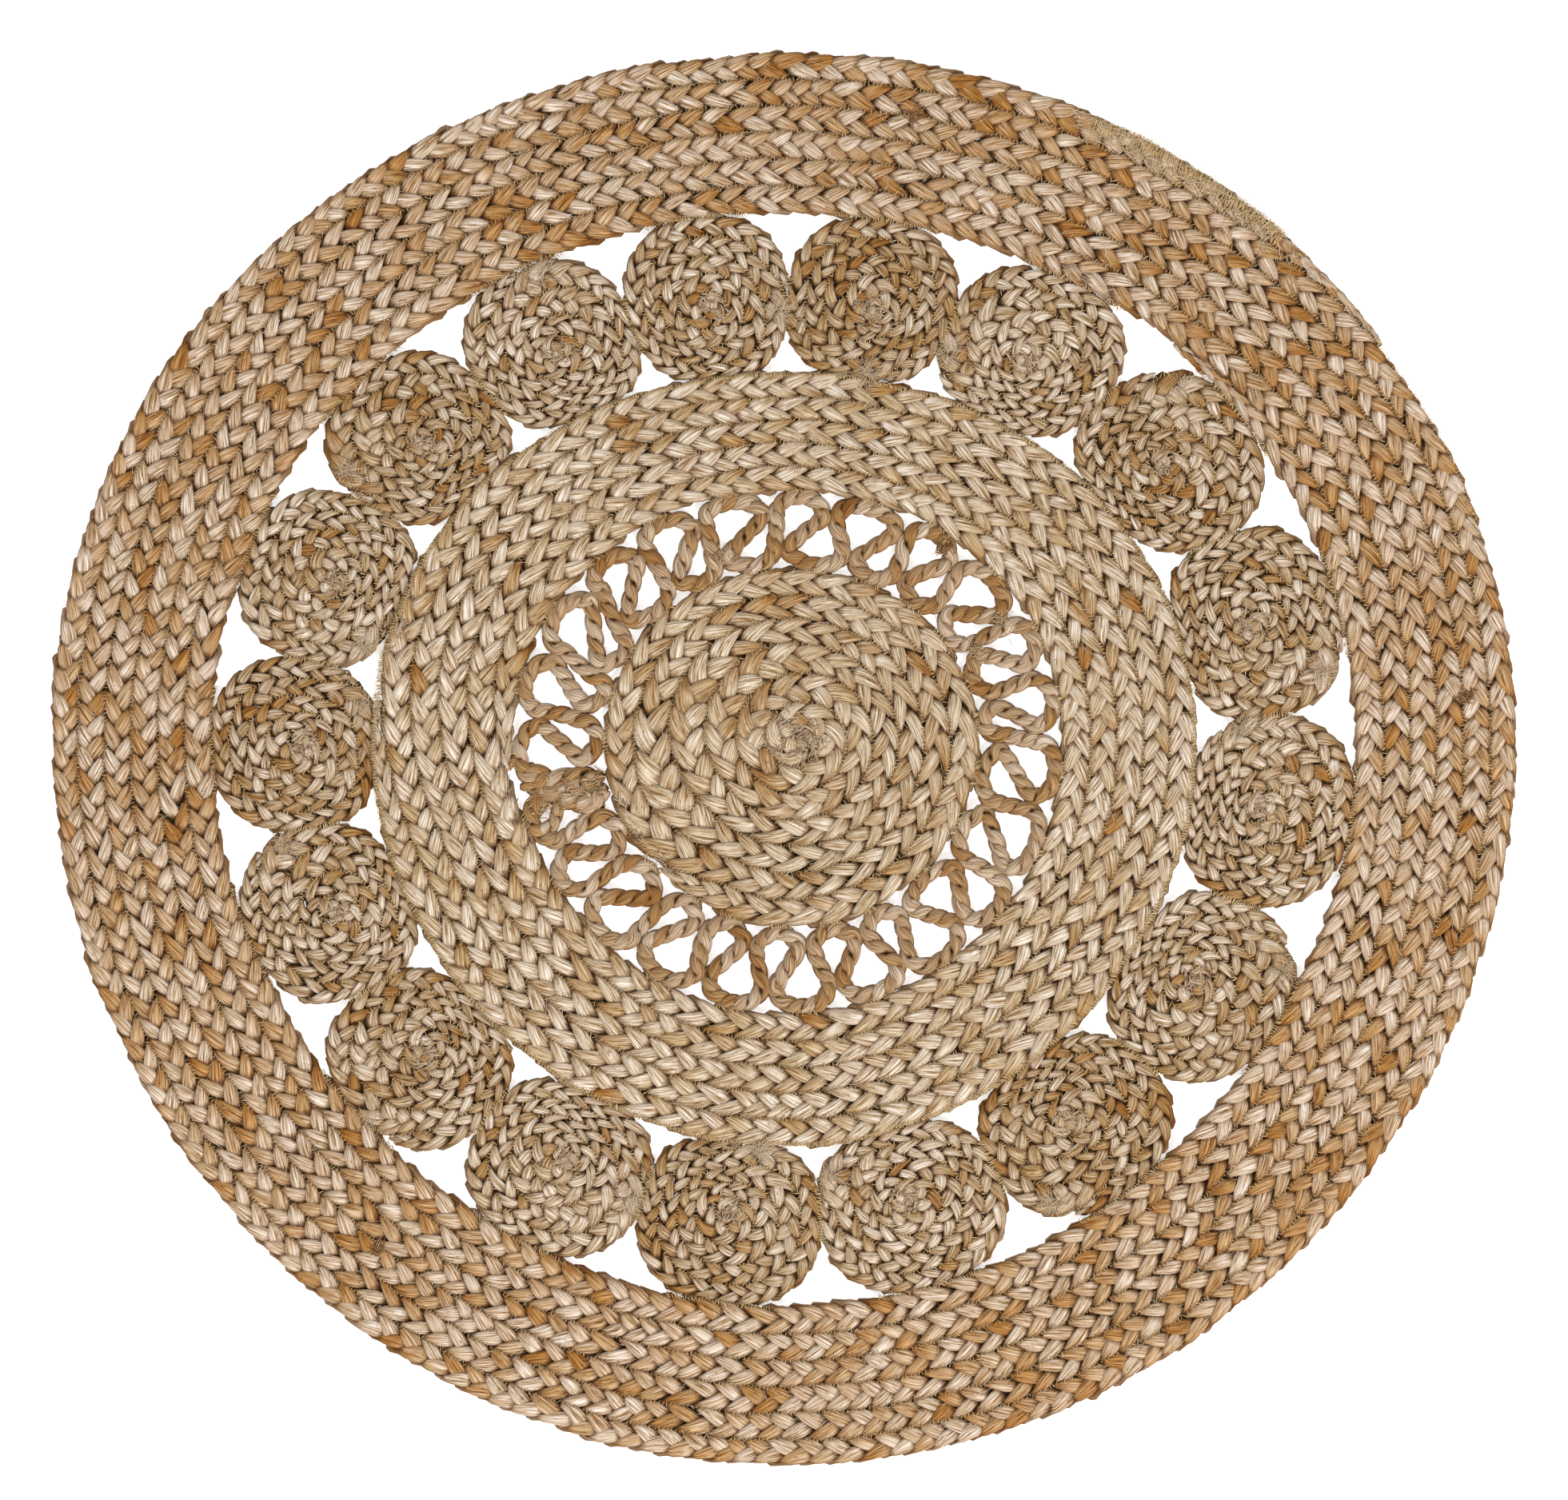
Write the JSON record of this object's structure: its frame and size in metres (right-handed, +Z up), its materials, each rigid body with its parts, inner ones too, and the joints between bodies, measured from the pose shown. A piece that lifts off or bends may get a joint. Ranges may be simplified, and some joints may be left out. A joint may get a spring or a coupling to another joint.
{
  "type": "braided jute area rug",
  "caption": "Round area rug of coiled flat jute braid with an openwork ring of looped twisted cord and a ring of small coiled rosettes, lying flat.",
  "frame": {"origin": "middle of the rug's bounding box, on the surface it lies on", "axes": "+Z up from the floor, the thin way; +X along the rug's slightly longer diameter; +Y along the shorter one"},
  "size_m": [0.912, 0.88, 0.009],
  "materials": {
    "jute_outer": "golden tan jute fibre braid with scattered orange-brown strands, silky sheen",
    "jute_middle": "pale straw jute fibre braid, silky sheen",
    "jute_disc": "tan jute fibre braid, silky sheen",
    "jute_rosette": "greyish tan jute fibre braid, matt with a soft sheen",
    "jute_lace": "twisted tan jute cord with orange-brown patches",
    "sewing_thread": "thin tan jute sewing thread, matt"
  },
  "bodies": {
    "root": {"centre_disc": "jute_disc", "middle_ring": "jute_middle", "outer_ring": "jute_outer", "lace_cord": "jute_lace", "rosette_01": "jute_rosette", "rosette_02": "jute_rosette", "rosette_03": "jute_rosette", "rosette_04": "jute_rosette", "rosette_05": "jute_rosette", "rosette_06": "jute_rosette", "rosette_07": "jute_rosette", "rosette_08": "jute_rosette", "rosette_09": "jute_rosette", "rosette_10": "jute_rosette", "rosette_11": "jute_rosette", "rosette_12": "jute_rosette", "rosette_13": "jute_rosette", "rosette_14": "jute_rosette", "rosette_15": "jute_rosette", "rosette_16": "jute_rosette", "rosette_17": "jute_rosette", "centre_disc_thread": "sewing_thread", "middle_ring_thread": "sewing_thread", "outer_ring_thread": "sewing_thread", "lace_inner_stitches": "sewing_thread", "lace_outer_stitches": "sewing_thread", "rosette_inner_stitches": "sewing_thread", "rosette_side_stitches": "sewing_thread", "rosette_outer_stitches": "sewing_thread", "rosette_thread_01": "sewing_thread", "rosette_thread_02": "sewing_thread", "rosette_thread_03": "sewing_thread", "rosette_thread_04": "sewing_thread", "rosette_thread_05": "sewing_thread", "rosette_thread_06": "sewing_thread", "rosette_thread_07": "sewing_thread", "rosette_thread_08": "sewing_thread", "rosette_thread_09": "sewing_thread", "rosette_thread_10": "sewing_thread", "rosette_thread_11": "sewing_thread", "rosette_thread_12": "sewing_thread", "rosette_thread_13": "sewing_thread", "rosette_thread_14": "sewing_thread", "rosette_thread_15": "sewing_thread", "rosette_thread_16": "sewing_thread", "rosette_thread_17": "sewing_thread"}
  },
  "joints": []
}
